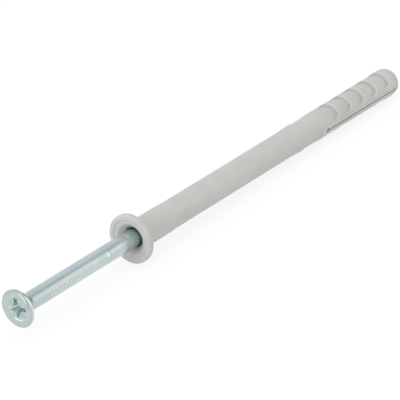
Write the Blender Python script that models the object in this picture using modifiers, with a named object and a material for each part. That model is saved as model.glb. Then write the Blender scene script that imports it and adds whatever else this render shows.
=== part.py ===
# Hammer fixing plug: a split plastic sleeve with a countersunk screw driven part of the way in.
# Both pieces are modelled along local +Z, with z = 0 at the collar's front face and +Z towards the
# sleeve's tip. The parent empty then lays them on the ground as they come to rest, tip along +X.
import math

import bmesh
import bpy
from mathutils import Matrix, Vector

MM = 0.001
WELD_DISTANCE = 0.00001

# Drive nail
NAIL_DIAMETER = 5.0 * MM
NAIL_LENGTH = 125.0 * MM
NAIL_EXPOSED = 45.5 * MM
HEAD_DIAMETER = 10.8 * MM
HEAD_RIM_HEIGHT = 0.6 * MM
HEAD_EDGE_RADIUS = 0.2 * MM
HEAD_UNDERSIDE_ANGLE = math.radians(45)
NAIL_NECK_FILLET = 1.8 * MM
RING_COUNT = 15
RING_PITCH = 1.1 * MM
RING_DEPTH = 0.06 * MM
RINGS_FROM_HEAD = 11.6 * MM
BEAD_FROM_HEAD = 34.9 * MM
BEAD_HEIGHT = 0.1 * MM
BEAD_WIDTH = 1.2 * MM
BEAD_TOP_SHARE = 0.33
NAIL_POINT_LENGTH = 4.5 * MM
NAIL_POINT_RADIUS = 0.25 * MM

# Saw-tooth thread, on a core thinner than the shank
THREAD_LENGTH = 52.0 * MM
THREAD_PITCH = 2.6 * MM
THREAD_HEIGHT = 0.45 * MM
THREAD_STEEP_SHARE = 0.12
THREAD_CREST_SHARE = 0.12
THREAD_CREST_DROP = 0.05 * MM
THREAD_CORE_DROP = 0.08 * MM
THREAD_RUNOUT = 4.0 * MM
THREAD_POINT_MARGIN = 1.0 * MM
THREAD_SHANK_OVERLAP = 1.2
THREAD_START_ANGLE = math.radians(4)

# Cross recess in the head
RECESS_SPAN = 6.4 * MM
RECESS_WING_WIDTH = 1.25 * MM
RECESS_BORE_DIAMETER = 3.0 * MM
RECESS_DEPTH = 3.0 * MM
RECESS_TAPER = 0.45
RECESS_WING_TAPER = 0.7
RECESS_ROLL = math.radians(-14)
MARK_START = 1.7 * MM
MARK_END = 3.1 * MM
MARK_WIDTH = 0.3 * MM
MARK_DEPTH = 0.2 * MM

# Sleeve
SLEEVE_LENGTH = 120.0 * MM
SHAFT_DIAMETER = 7.9 * MM
BORE_CLEARANCE = 0.3 * MM
NECK_DIAMETER = 8.2 * MM
NECK_END = 14.9 * MM
NECK_CHAMFER_LENGTH = 0.7 * MM
COLLAR_DIAMETER = 14.2 * MM
COLLAR_THICKNESS = 1.9 * MM
COLLAR_EDGE_RADIUS = 0.45 * MM
COLLAR_ROOT_FILLET = 0.35 * MM
RIM_WIDTH = 1.0 * MM
SEAT_STEP_RUN = 0.15 * MM
SEAT_STEP_DEPTH = 0.3 * MM
SEAT_DEPTH = 0.5 * MM
MOUTH_DIAMETER = 8.8 * MM

# Expansion zone, measured back from the tip
ZONE_DIAMETER = 8.2 * MM
ZONE_LENGTH = 38.0 * MM
ZONE_RAMP_LENGTH = 3.0 * MM
CREST_DIAMETER = 8.4 * MM
TIP_DIAMETER = 6.6 * MM
TIP_TAPER_LENGTH = 2.8 * MM
POCKET_COUNT = 5
POCKET_PITCH = 6.22 * MM
POCKET_LENGTH = 4.9 * MM
POCKET_DEPTH = 0.75 * MM
POCKET_HALF_ANGLE = math.radians(61)
POCKET_CORNER = 1.4 * MM
LAST_WALL_FROM_TIP = 5.0 * MM
SLIT_WIDTH = 0.5 * MM
SLIT_LENGTH = 35.4 * MM
KEYHOLE_DIAMETER = 1.3 * MM

# Shallow reliefs ahead of the keyholes, in line with the slit
RELIEF_FROM_SLIT = 2.7 * MM
RELIEF_LENGTH = 5.6 * MM
RELIEF_DEPTH = 0.3 * MM
RELIEF_HALF_ANGLE = math.radians(19)
RELIEF_CORNER = 0.8 * MM

# Low anti-rotation fins, turned away from the slit by half a right angle
FIN_FROM_ZONE = 7.6 * MM
FIN_LENGTH = 6.5 * MM
FIN_TURN = math.radians(45)
FIN_HEIGHT = 0.2 * MM
FIN_HALF_ANGLE = math.radians(14)
FIN_CORNER = 0.5 * MM
FIN_ROOT_SINK = 0.3 * MM

# The sleeve's turn about its own axis as it lies
SLEEVE_ROLL = math.radians(7.5)

# Facets round the turned pieces
SLEEVE_SEGMENTS = 72
NAIL_SEGMENTS = 24
NAIL_ARC_STEPS = 4
COLLAR_ARC_STEPS = 2
TIP_ARC_STEPS = 3
KEYHOLE_SEGMENTS = 16
CUT_MARGIN = 1.0 * MM
SURFACE_MARGIN = 0.05 * MM
CORNER_STEPS = 6

# Sizes that follow from the ones above
NAIL_RADIUS = NAIL_DIAMETER / 2
HEAD_RADIUS = HEAD_DIAMETER / 2
BORE_RADIUS = NAIL_RADIUS + BORE_CLEARANCE
SHAFT_RADIUS = SHAFT_DIAMETER / 2
NECK_RADIUS = NECK_DIAMETER / 2
COLLAR_RADIUS = COLLAR_DIAMETER / 2
MOUTH_RADIUS = MOUTH_DIAMETER / 2
ZONE_RADIUS = ZONE_DIAMETER / 2
CREST_RADIUS = CREST_DIAMETER / 2
TIP_RADIUS = TIP_DIAMETER / 2
LAST_WALL = SLEEVE_LENGTH - LAST_WALL_FROM_TIP
TIP_TAPER_START = SLEEVE_LENGTH - TIP_TAPER_LENGTH
ZONE_START = SLEEVE_LENGTH - ZONE_LENGTH
SLIT_START = SLEEVE_LENGTH - SLIT_LENGTH
RELIEF_WALL = SLIT_START - RELIEF_FROM_SLIT
FIN_END = ZONE_START - FIN_FROM_ZONE
THREAD_CREST_RADIUS = NAIL_RADIUS - THREAD_CREST_DROP
THREAD_ROOT_RADIUS = THREAD_CREST_RADIUS - THREAD_HEIGHT
THREAD_CORE_RADIUS = THREAD_ROOT_RADIUS - THREAD_CORE_DROP
THREAD_END = NAIL_LENGTH - NAIL_POINT_LENGTH - THREAD_POINT_MARGIN
THREAD_START = THREAD_END - THREAD_LENGTH


def new_collection(name):
    collection = bpy.data.collections.new(name)
    bpy.context.scene.collection.children.link(collection)
    return collection


def new_object(name, data, collection):
    obj = bpy.data.objects.new(name, data)
    collection.objects.link(obj)
    return obj


def make_material(name, color, roughness, metallic):
    material = bpy.data.materials.new(name)
    material.use_nodes = True
    shader = material.node_tree.nodes["Principled BSDF"]
    shader.inputs["Base Color"].default_value = (*color, 1.0)
    shader.inputs["Roughness"].default_value = roughness
    shader.inputs["Metallic"].default_value = metallic
    return material


def arc(center_r, center_z, radius, start, end, steps):
    """Points of a round corner in the (radius, height) plane of a turned profile."""
    return [
        (
            center_r + radius * math.cos(start + (end - start) * i / steps),
            center_z + radius * math.sin(start + (end - start) * i / steps),
        )
        for i in range(steps + 1)
    ]


def turned(name, profile, segments, collection, closed):
    """Turn a (radius, height) profile about local Z."""
    mesh = bpy.data.meshes.new(name)
    edges = [(i, i + 1) for i in range(len(profile) - 1)]
    if closed:
        edges.append((len(profile) - 1, 0))
    mesh.from_pydata([(r, 0.0, z) for r, z in profile], edges, [])
    obj = new_object(name, mesh, collection)
    screw = obj.modifiers.new("Turn", "SCREW")
    screw.axis = "Z"
    screw.steps = segments
    screw.render_steps = segments
    screw.use_merge_vertices = True
    screw.merge_threshold = WELD_DISTANCE
    return obj


def bake(obj):
    """Replace an object by the mesh that its modifiers or its curve make."""
    graph = bpy.context.evaluated_depsgraph_get()
    mesh = bpy.data.meshes.new_from_object(obj.evaluated_get(graph))
    work = bmesh.new()
    work.from_mesh(mesh)
    bmesh.ops.remove_doubles(work, verts=work.verts, dist=WELD_DISTANCE)
    bmesh.ops.recalc_face_normals(work, faces=work.faces)
    work.to_mesh(mesh)
    work.free()
    baked = bpy.data.objects.new(obj.name, mesh)
    for collection in obj.users_collection:
        collection.objects.link(baked)
    baked.matrix_world = obj.matrix_world.copy()
    name = obj.name
    bpy.data.objects.remove(obj)
    baked.name = name
    return baked


def lofted(name, sections, collection):
    """A solid through a row of matching closed sections, capped at both ends."""
    work = bmesh.new()
    rings = [[work.verts.new(point) for point in section] for section in sections]
    count = len(rings[0])
    for ring, after in zip(rings, rings[1:]):
        for i in range(count):
            j = (i + 1) % count
            work.faces.new((ring[i], ring[j], after[j], after[i]))
    work.faces.new(rings[0])
    work.faces.new(rings[-1])
    bmesh.ops.recalc_face_normals(work, faces=work.faces)
    mesh = bpy.data.meshes.new(name)
    work.to_mesh(mesh)
    work.free()
    return new_object(name, mesh, collection)


def rounded_end_line(radius, half_angle, corner):
    """(angle, setback) pairs across a level arc whose two ends are rounded off in plan."""
    corner_angle = corner / radius
    half = []
    for i in range(CORNER_STEPS):
        turn = math.pi / 2 * i / CORNER_STEPS
        half.append((half_angle - corner_angle * (1 - math.cos(turn)), corner * (1 - math.sin(turn))))
    straight = half_angle - corner_angle
    facet = 2 * math.pi / SLEEVE_SEGMENTS
    reach = int(straight / facet)
    # The steps fall halfway between the sleeve's own edges, so that no edge lies on another
    middle = [(facet * (i + 0.5), 0.0) for i in range(-reach, reach)]
    return [(-angle, setback) for angle, setback in half] + middle + half[::-1]


def ramp(name, collection, end, radius, middle, length, rise, half_angle, corner, base):
    """A saw-tooth: its slope leaves the surface, rises or sinks towards the tip and stops in a wall.

    A negative rise sinks below the surface. The base is the far side of the solid.
    """
    margin = -math.copysign(SURFACE_MARGIN, rise)
    start = end - length * (1 + SURFACE_MARGIN / abs(rise))
    sections = []
    for angle, setback in rounded_end_line(radius, half_angle, corner):
        outline = (
            (rise * (1 - setback / length), end - setback),
            (base, end - setback),
            (base, start),
            (margin, start),
        )
        across, up = math.cos(middle + angle), math.sin(middle + angle)
        sections.append([((radius + out) * across, (radius + out) * up, z) for out, z in outline])
    return lofted(name, sections, collection)


def joined(name, pieces, collection):
    """Join separate meshes into one object, without merging their surfaces."""
    work = bmesh.new()
    for piece in pieces:
        mesh = piece.data.copy()
        mesh.transform(piece.matrix_world)
        work.from_mesh(mesh)
        bpy.data.meshes.remove(mesh)
        bpy.data.objects.remove(piece)
    mesh = bpy.data.meshes.new(name)
    work.to_mesh(mesh)
    work.free()
    return new_object(name, mesh, collection)


def combine(obj, other, operation):
    other.parent = obj
    other.hide_render = True
    other.display_type = "WIRE"
    modifier = obj.modifiers.new(other.name, "BOOLEAN")
    modifier.operation = operation
    modifier.solver = "EXACT"
    modifier.object = other


def finish(obj, material, parent, turn, height):
    obj.data.materials.append(material)
    obj.parent = parent
    obj.location = (0.0, 0.0, height)
    obj.rotation_euler = (0.0, 0.0, turn)
    obj.data.shade_smooth()


def sleeve_profile():
    """Half section of the sleeve: outside from tip to collar, then back through the bore."""
    points = [(BORE_RADIUS, SLEEVE_LENGTH)]
    for step in range(TIP_ARC_STEPS + 1):
        turn = math.pi / 2 * step / TIP_ARC_STEPS
        points.append((
            TIP_RADIUS + (CREST_RADIUS - TIP_RADIUS) * math.sin(turn),
            SLEEVE_LENGTH - TIP_TAPER_LENGTH * (1 - math.cos(turn)),
        ))
    points += [
        (CREST_RADIUS, LAST_WALL),
        (ZONE_RADIUS, LAST_WALL - (POCKET_PITCH - POCKET_LENGTH)),
        (ZONE_RADIUS, ZONE_START),
        (SHAFT_RADIUS, ZONE_START - ZONE_RAMP_LENGTH),
        (SHAFT_RADIUS, NECK_END + NECK_CHAMFER_LENGTH),
        (NECK_RADIUS, NECK_END),
    ]
    fillet_r = NECK_RADIUS + COLLAR_ROOT_FILLET
    fillet_z = COLLAR_THICKNESS + COLLAR_ROOT_FILLET
    points += arc(fillet_r, fillet_z, COLLAR_ROOT_FILLET, math.pi, 1.5 * math.pi, COLLAR_ARC_STEPS)
    edge_r = COLLAR_RADIUS - COLLAR_EDGE_RADIUS
    edge_z = COLLAR_THICKNESS - COLLAR_EDGE_RADIUS
    points += arc(edge_r, edge_z, COLLAR_EDGE_RADIUS, math.pi / 2, 0, COLLAR_ARC_STEPS)
    points += arc(edge_r, COLLAR_EDGE_RADIUS, COLLAR_EDGE_RADIUS, 0, -math.pi / 2, COLLAR_ARC_STEPS)
    points += [
        (edge_r - RIM_WIDTH, 0.0),
        (edge_r - RIM_WIDTH - SEAT_STEP_RUN, SEAT_STEP_DEPTH),
        (MOUTH_RADIUS, SEAT_DEPTH),
        (BORE_RADIUS, SEAT_DEPTH + MOUTH_RADIUS - BORE_RADIUS),
    ]
    return points


def pocket_cutters(collection):
    """Five pockets on each leg, and a shallow relief ahead of each keyhole."""
    cutters = []
    for turn in (0.0, math.pi):
        for index in range(POCKET_COUNT):
            cutters.append(ramp(
                "pocket",
                collection,
                end=LAST_WALL - index * POCKET_PITCH,
                radius=ZONE_RADIUS,
                middle=turn,
                length=POCKET_LENGTH,
                rise=-POCKET_DEPTH,
                half_angle=POCKET_HALF_ANGLE,
                corner=POCKET_CORNER,
                base=CUT_MARGIN,
            ))
        cutters.append(ramp(
            "relief",
            collection,
            end=RELIEF_WALL,
            radius=SHAFT_RADIUS,
            middle=turn + math.pi / 2,
            length=RELIEF_LENGTH,
            rise=-RELIEF_DEPTH,
            half_angle=RELIEF_HALF_ANGLE,
            corner=RELIEF_CORNER,
            base=CUT_MARGIN,
        ))
    return cutters


def slit_cutter(collection):
    """One straight saw cut through both walls, from a round keyhole to the tip."""
    length = SLEEVE_LENGTH + CUT_MARGIN - SLIT_START
    bpy.ops.mesh.primitive_cube_add(size=1.0, location=(0.0, 0.0, SLIT_START + length / 2))
    slit = bpy.context.object
    slit.scale = (SLIT_WIDTH, ZONE_DIAMETER + 2 * CUT_MARGIN, length)
    bpy.ops.object.transform_apply(location=True, rotation=True, scale=True)
    bpy.ops.mesh.primitive_cylinder_add(
        vertices=KEYHOLE_SEGMENTS,
        radius=KEYHOLE_DIAMETER / 2,
        depth=ZONE_DIAMETER + 4 * CUT_MARGIN,
        location=(0.0, 0.0, SLIT_START),
        rotation=(math.pi / 2, 0.0, 0.0),
    )
    keyhole = bpy.context.object
    bpy.ops.object.transform_apply(location=True, rotation=True, scale=True)
    for piece in (slit, keyhole):
        for owner in piece.users_collection:
            owner.objects.unlink(piece)
        collection.objects.link(piece)
    combine(keyhole, slit, "UNION")
    whole = bake(keyhole)
    whole.name = "slit_cutter"
    bpy.data.objects.remove(slit)
    return whole


def fins(collection):
    """Two low ramps that rise from the shaft towards the tip and end in a step."""
    return [
        ramp(
            "fin",
            collection,
            end=FIN_END,
            radius=SHAFT_RADIUS,
            middle=math.pi / 2 + FIN_TURN + turn,
            length=FIN_LENGTH,
            rise=FIN_HEIGHT,
            half_angle=FIN_HALF_ANGLE,
            corner=FIN_CORNER,
            base=-FIN_ROOT_SINK,
        )
        for turn in (0.0, math.pi)
    ]


def make_sleeve(parts, cutters, material, parent):
    sleeve = turned("sleeve", sleeve_profile(), SLEEVE_SEGMENTS, parts, closed=True)
    combine(sleeve, joined("anti_rotation_fins", fins(cutters), cutters), "UNION")
    combine(sleeve, joined("pocket_cutters", pocket_cutters(cutters), cutters), "DIFFERENCE")
    combine(sleeve, slit_cutter(cutters), "DIFFERENCE")
    weighted = sleeve.modifiers.new("Even shading", "WEIGHTED_NORMAL")
    weighted.mode = "FACE_AREA_WITH_ANGLE"
    finish(sleeve, material, parent, SLEEVE_ROLL, 0.0)
    return sleeve


def nail_profile():
    """Half section of the nail from its point up to the head face, measured from the head face."""
    point_start = NAIL_LENGTH - NAIL_POINT_LENGTH
    points = [(0.0, NAIL_LENGTH), (NAIL_POINT_RADIUS, NAIL_LENGTH - NAIL_POINT_RADIUS)]
    points += [(THREAD_CORE_RADIUS, point_start)]
    shank_end = THREAD_START + THREAD_PITCH * THREAD_SHANK_OVERLAP
    chamfer = NAIL_RADIUS - THREAD_CORE_RADIUS
    points += [(THREAD_CORE_RADIUS, shank_end + chamfer), (NAIL_RADIUS, shank_end)]
    bead = BEAD_FROM_HEAD
    bead_top = BEAD_WIDTH * BEAD_TOP_SHARE
    points += [
        (NAIL_RADIUS, bead + BEAD_WIDTH / 2),
        (NAIL_RADIUS + BEAD_HEIGHT, bead + bead_top / 2),
        (NAIL_RADIUS + BEAD_HEIGHT, bead - bead_top / 2),
        (NAIL_RADIUS, bead - BEAD_WIDTH / 2),
    ]
    for index in reversed(range(RING_COUNT)):
        ring = RINGS_FROM_HEAD + index * RING_PITCH
        points += [(NAIL_RADIUS, ring + RING_PITCH / 2), (NAIL_RADIUS - RING_DEPTH, ring)]
    points += [(NAIL_RADIUS, RINGS_FROM_HEAD - RING_PITCH / 2)]
    slope = math.tan(HEAD_UNDERSIDE_ANGLE)
    corner = HEAD_RIM_HEIGHT + (HEAD_RADIUS - NAIL_RADIUS) / slope
    reach = NAIL_NECK_FILLET * math.tan(HEAD_UNDERSIDE_ANGLE / 2)
    points += arc(
        NAIL_RADIUS + NAIL_NECK_FILLET,
        corner + reach,
        NAIL_NECK_FILLET,
        math.pi,
        math.pi + HEAD_UNDERSIDE_ANGLE,
        NAIL_ARC_STEPS,
    )
    points += [(HEAD_RADIUS, HEAD_RIM_HEIGHT)]
    edge_r = HEAD_RADIUS - HEAD_EDGE_RADIUS
    points += arc(edge_r, HEAD_EDGE_RADIUS, HEAD_EDGE_RADIUS, 0, -math.pi / 2, NAIL_ARC_STEPS)
    points += [(0.0, 0.0)]
    return points


def make_thread(collection):
    """Saw-tooth thread: one pitch of its profile wound down the nail, with a steep flank to the head."""
    turns = round(THREAD_LENGTH / THREAD_PITCH)
    outline = [
        (THREAD_ROOT_RADIUS, 0.0),
        (THREAD_CREST_RADIUS, THREAD_PITCH * THREAD_STEEP_SHARE),
        (THREAD_CREST_RADIUS, THREAD_PITCH * (THREAD_STEEP_SHARE + THREAD_CREST_SHARE)),
        (THREAD_ROOT_RADIUS, THREAD_PITCH),
    ]
    coil = turned("thread", outline, NAIL_SEGMENTS, collection, closed=False)
    wind = coil.modifiers["Turn"]
    wind.screw_offset = THREAD_PITCH
    wind.iterations = turns
    thread = bake(coil)

    work = bmesh.new()
    work.from_mesh(thread.data)
    rims = [edge for edge in work.edges if edge.is_boundary]
    caps = bmesh.ops.holes_fill(work, edges=rims)
    bmesh.ops.poke(work, faces=caps["faces"])
    for vert in work.verts:
        from_end = turns * THREAD_PITCH - vert.co.z
        height = min(1.0, max(0.0, from_end / THREAD_RUNOUT))
        radius = math.hypot(vert.co.x, vert.co.y)
        if radius > THREAD_ROOT_RADIUS:
            scale = (THREAD_ROOT_RADIUS + (radius - THREAD_ROOT_RADIUS) * height) / radius
            vert.co.x *= scale
            vert.co.y *= scale
        vert.co.z += THREAD_START
    bmesh.ops.recalc_face_normals(work, faces=work.faces)
    work.to_mesh(thread.data)
    work.free()
    thread.data.transform(Matrix.Rotation(THREAD_START_ANGLE, 4, "Z"))
    return thread


def recess_wing(collection, turn):
    """One tapered bar of the cross, wide at the head face and narrower at its floor."""
    work = bmesh.new()
    bmesh.ops.create_cube(work, size=1.0)
    for vert in work.verts:
        at_floor = vert.co.z > 0
        span = RECESS_SPAN * (RECESS_TAPER if at_floor else 1.0)
        width = RECESS_WING_WIDTH * (RECESS_WING_TAPER if at_floor else 1.0)
        vert.co.x *= span
        vert.co.y *= width
        vert.co.z = RECESS_DEPTH if at_floor else -SURFACE_MARGIN
    mesh = bpy.data.meshes.new("recess_wing")
    work.to_mesh(mesh)
    work.free()
    mesh.transform(Matrix.Rotation(turn, 4, "Z"))
    return new_object("recess_wing", mesh, collection)


def recess_marks(collection):
    """Four shallow marks between the wings."""
    marks = []
    for quarter in range(4):
        work = bmesh.new()
        bmesh.ops.create_cube(work, size=1.0)
        length = MARK_END - MARK_START
        bmesh.ops.scale(work, verts=work.verts, vec=(length, MARK_WIDTH, 2 * MARK_DEPTH))
        bmesh.ops.translate(work, verts=work.verts, vec=(MARK_START + length / 2, 0.0, 0.0))
        mesh = bpy.data.meshes.new("recess_mark")
        work.to_mesh(mesh)
        work.free()
        mesh.transform(Matrix.Rotation(math.radians(45 + 90 * quarter), 4, "Z"))
        marks.append(new_object("recess_mark", mesh, collection))
    return marks


def recess_center(collection):
    """The tapered middle of the recess, where the four wings meet."""
    work = bmesh.new()
    bmesh.ops.create_cone(
        work,
        cap_ends=True,
        segments=4,
        radius1=RECESS_BORE_DIAMETER / 2,
        radius2=RECESS_BORE_DIAMETER / 2 * RECESS_TAPER,
        depth=RECESS_DEPTH,
    )
    middle = RECESS_DEPTH / 2 - 2 * SURFACE_MARGIN
    bmesh.ops.translate(work, verts=work.verts, vec=(0.0, 0.0, middle))
    mesh = bpy.data.meshes.new("recess_center")
    work.to_mesh(mesh)
    work.free()
    mesh.transform(Matrix.Rotation(math.radians(45), 4, "Z"))
    return new_object("recess_center", mesh, collection)


def make_nail(parts, cutters, material, parent):
    nail = turned("drive_nail", nail_profile(), NAIL_SEGMENTS, parts, closed=False)
    combine(nail, make_thread(cutters), "UNION")
    for turn in (0.0, math.pi / 2):
        combine(nail, recess_wing(cutters, turn), "DIFFERENCE")
    combine(nail, recess_center(cutters), "DIFFERENCE")
    combine(nail, joined("recess_marks", recess_marks(cutters), cutters), "DIFFERENCE")
    weighted = nail.modifiers.new("Even shading", "WEIGHTED_NORMAL")
    weighted.mode = "FACE_AREA_WITH_ANGLE"
    finish(nail, material, parent, RECESS_ROLL, -NAIL_EXPOSED)
    return nail


def resting_frame(parts):
    """The empty that lays both pieces on the ground, on the collar's edge and the last crest."""
    facet = math.cos(math.pi / SLEEVE_SEGMENTS)
    collar_contact = COLLAR_THICKNESS - COLLAR_EDGE_RADIUS
    crest_contact = TIP_TAPER_START
    drop = (COLLAR_RADIUS - CREST_RADIUS) * facet
    tilt = math.atan2(drop, crest_contact - collar_contact)
    lying = Matrix.Rotation(math.pi / 2 + tilt, 4, "Y")
    contact = lying @ Vector((COLLAR_RADIUS * facet, 0.0, collar_contact))
    front = lying @ Vector((0.0, 0.0, -NAIL_EXPOSED))
    back = lying @ Vector((0.0, 0.0, SLEEVE_LENGTH))
    head_reach = HEAD_RADIUS * math.sin(tilt)
    tip_reach = TIP_RADIUS * math.sin(tilt)
    middle = (front.x - head_reach + back.x + tip_reach) / 2
    frame = new_object("plug_axis", None, parts)
    frame.matrix_world = Matrix.Translation((-middle, 0.0, -contact.z)) @ lying
    return frame


def main():
    for obj in list(bpy.data.objects):
        bpy.data.objects.remove(obj)
    parts = new_collection("hammer_fixing_plug")
    cutters = new_collection("cutters")
    grey_plastic = make_material("grey_plastic", (0.60, 0.60, 0.585), 0.5, 0.0)
    zinc_steel = make_material("zinc_steel", (0.66, 0.70, 0.72), 0.3, 1.0)
    frame = resting_frame(parts)
    bpy.context.view_layer.update()
    make_sleeve(parts, cutters, grey_plastic, frame)
    make_nail(parts, cutters, zinc_steel, frame)


main()
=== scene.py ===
import bisect
import math

import bmesh
import bpy
from mathutils import Matrix, Vector


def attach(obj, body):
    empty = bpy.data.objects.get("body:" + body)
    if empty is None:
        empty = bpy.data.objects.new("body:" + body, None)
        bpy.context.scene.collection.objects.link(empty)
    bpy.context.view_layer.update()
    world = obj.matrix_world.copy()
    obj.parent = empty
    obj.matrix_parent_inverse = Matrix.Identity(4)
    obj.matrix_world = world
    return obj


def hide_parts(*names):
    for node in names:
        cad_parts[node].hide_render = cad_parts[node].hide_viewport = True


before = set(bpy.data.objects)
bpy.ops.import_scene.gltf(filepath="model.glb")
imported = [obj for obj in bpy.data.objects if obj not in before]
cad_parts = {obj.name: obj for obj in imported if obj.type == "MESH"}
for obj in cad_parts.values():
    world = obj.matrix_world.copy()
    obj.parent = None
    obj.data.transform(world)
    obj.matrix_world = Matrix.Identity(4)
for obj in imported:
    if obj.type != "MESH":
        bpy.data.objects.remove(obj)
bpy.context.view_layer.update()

mm = 0.001

# how the plug lies: on the collar's edge and the last crest, tip along +X;
# in its own frame z runs from the collar's front face to the sleeve's tip
lie = {
    "collarFront": (-37.2121, 0.0, 7.1273),  # millimetres
    "dip": math.radians(1.4338),
}


def lyingMatrix():
    place = Matrix.Translation(Vector(lie["collarFront"]) * mm)
    return place @ Matrix.Rotation(math.pi / 2 + lie["dip"], 4, "Y")


print("frame loaded")


# lines and meshes of turned pieces

def steps(start, end, step):
    # even steps from start up to but not including end, in either direction
    count = max(1, round(abs(end - start) / step))
    return [start + (end - start) * i / count for i in range(count)]


def roundedLine(points, reach, cuts):
    # a (radius, z) line with its corners softened; reach is one length or one for each point
    line = []
    last = len(points) - 1
    for i, point in enumerate(points):
        soft = reach[i] if isinstance(reach, (list, tuple)) else reach
        if i in (0, last) or soft == 0:
            line.append(point)
            continue
        here = Vector(point)
        before = Vector(points[i - 1]) - here
        after = Vector(points[i + 1]) - here
        soft = min(soft, before.length * 0.45, after.length * 0.45)  # two corners never meet
        start = here + before.normalized() * soft
        end = here + after.normalized() * soft
        for k in range(cuts + 1):
            t = k / cuts
            spot = start * (1 - t) ** 2 + here * 2 * t * (1 - t) + end * t ** 2
            line.append((spot.x, spot.y))
    return line


def radiusAlong(points, z):
    # radius of a line of (radius, z) points with falling z
    heights = [-point[1] for point in points]
    i = min(max(bisect.bisect_left(heights, -z), 1), len(points) - 1)
    (r0, z0), (r1, z1) = points[i - 1], points[i]
    share = 0.0 if z1 == z0 else (z - z0) / (z1 - z0)
    return r0 + (r1 - r0) * min(max(share, 0.0), 1.0)


def arc(center, radii, first, last, cuts):
    # points of a round, from one angle to another
    turns = [first + (last - first) * i / cuts for i in range(cuts + 1)]
    return [
        (center[0] + radii[0] * math.cos(turn), center[1] + radii[1] * math.sin(turn))
        for turn in turns
    ]


def turnedMesh(name, line, angles, closedLine):
    # turns a line of (radius, z) points in mm about Z; a radius of 0 becomes one pole
    mesh = bpy.data.meshes.new(name)
    work = bmesh.new()
    rings = []
    for radius, z in line:
        if radius < 1e-6:
            rings.append([work.verts.new((0.0, 0.0, z * mm))])
        else:
            rings.append([
                work.verts.new((radius * math.cos(a) * mm, radius * math.sin(a) * mm, z * mm))
                for a in angles
            ])
    pairs = list(zip(rings, rings[1:]))
    if closedLine:
        pairs.append((rings[-1], rings[0]))
    for ring, after in pairs:
        for i in range(len(angles)):
            j = (i + 1) % len(angles)
            corners = [
                ring[i % len(ring)], ring[j % len(ring)],
                after[j % len(after)], after[i % len(after)],
            ]
            corners = list(dict.fromkeys(corners))  # at a pole two of them are one
            if len(corners) > 2:
                work.faces.new(corners)
    bmesh.ops.recalc_face_normals(work, faces=work.faces)
    work.to_mesh(mesh)
    work.free()
    return mesh


# helpers for node trees of both kinds

def joinTo(tree, slot, value):
    if isinstance(value, bpy.types.NodeSocket):
        tree.links.new(value, slot)
    else:
        slot.default_value = value


def setNode(tree, kind, inputs=None, **settings):
    node = tree.nodes.new(kind)
    for name, value in settings.items():
        setattr(node, name, value)
    for name, value in (inputs or {}).items():
        joinTo(tree, node.inputs[name], value)
    return node


def maths(tree):
    # gives a function that adds Math nodes and gives back their result;
    # more than two values are taken two by two from the left
    def work(operation, first, *others):
        result = first
        for values in [(other,) for other in others] or [()]:
            node = setNode(tree, "ShaderNodeMath", operation=operation)
            for slot, value in zip(node.inputs, (result, *values)):
                joinTo(tree, slot, value)
            result = node.outputs[0]
        return result
    return work


def eased(tree, value, low, high):
    # 0 at low and 1 at high, smooth between, in either direction
    ends = {"Value": value, "From Min": low, "From Max": high}
    return setNode(
        tree, "ShaderNodeMapRange", ends, interpolation_type="SMOOTHSTEP"
    ).outputs["Result"]


def roundReadings(tree, work, vector):
    # a point's coordinates and its distance from the Z axis
    x, y, z = setNode(tree, "ShaderNodeSeparateXYZ", {"Vector": vector}).outputs
    radius = work("SQRT", work("ADD", work("MULTIPLY", x, x), work("MULTIPLY", y, y)))
    return x, y, z, radius


def awayFrom(work, angle, middle, period):
    # signed angle from the nearest of the middles that repeat every period
    aside = work("SUBTRACT", angle, middle)
    nearest = work("MULTIPLY", work("ROUND", work("DIVIDE", aside, period)), period)
    return work("SUBTRACT", aside, nearest)


def insideOutline(work, back, aside, corner):
    # distance inside a pocket's outline: its wall at back 0, its side at aside 0,
    # and a round corner between them
    inward = work("MAXIMUM", work("SUBTRACT", corner, back), 0.0)
    sideways = work("MAXIMUM", work("SUBTRACT", corner, aside), 0.0)
    squares = work("ADD", work("MULTIPLY", inward, inward), work("MULTIPLY", sideways, sideways))
    return work("SUBTRACT", corner, work("SQRT", squares))


# helpers for geometry trees

def newTree(name, sizes):
    # a tree with one named input for each size, the inputs' identifiers, and their sockets
    tree = bpy.data.node_groups.new(name, "GeometryNodeTree")
    for side in ("INPUT", "OUTPUT"):
        tree.interface.new_socket(name="Geometry", in_out=side, socket_type="NodeSocketGeometry")
    identifiers = {}
    for key, value in sizes.items():
        kind = "NodeSocketInt" if isinstance(value, int) else "NodeSocketFloat"
        socket = tree.interface.new_socket(name=key, in_out="INPUT", socket_type=kind)
        socket.default_value = value
        identifiers[key] = socket.identifier
    return tree, identifiers, tree.nodes.new("NodeGroupInput").outputs


def sawTooth(tree, work, given, kind, back, aside, rise):
    # a slope that starts at nothing and is full height at its wall, where back is 0
    length, corner = given[kind + " length"], given[kind + " corner"]
    height = work("MULTIPLY", rise, work("SUBTRACT", 1.0, work("DIVIDE", back, length)))
    wall = eased(tree, back, 0.0, given["wall softness"])
    edge = eased(tree, insideOutline(work, back, aside, corner), 0.0, given["side softness"])
    within = work("MULTIPLY", work("GREATER_THAN", back, 0.0), work("LESS_THAN", back, length))
    blend = work("MULTIPLY", work("MINIMUM", wall, work("MAXIMUM", edge, 0.0)), within)
    return work("MULTIPLY", height, blend)


def pointReadings(tree, work):
    # the readings of a mesh's points, and the direction outwards from the axis
    position = setNode(tree, "GeometryNodeInputPosition").outputs[0]
    x, y, z, radius = roundReadings(tree, work, position)
    flat = setNode(tree, "ShaderNodeCombineXYZ", {"X": x, "Y": y}).outputs[0]
    outward = setNode(tree, "ShaderNodeVectorMath", {0: flat}, operation="NORMALIZE").outputs[0]
    return x, y, z, radius, outward


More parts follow.
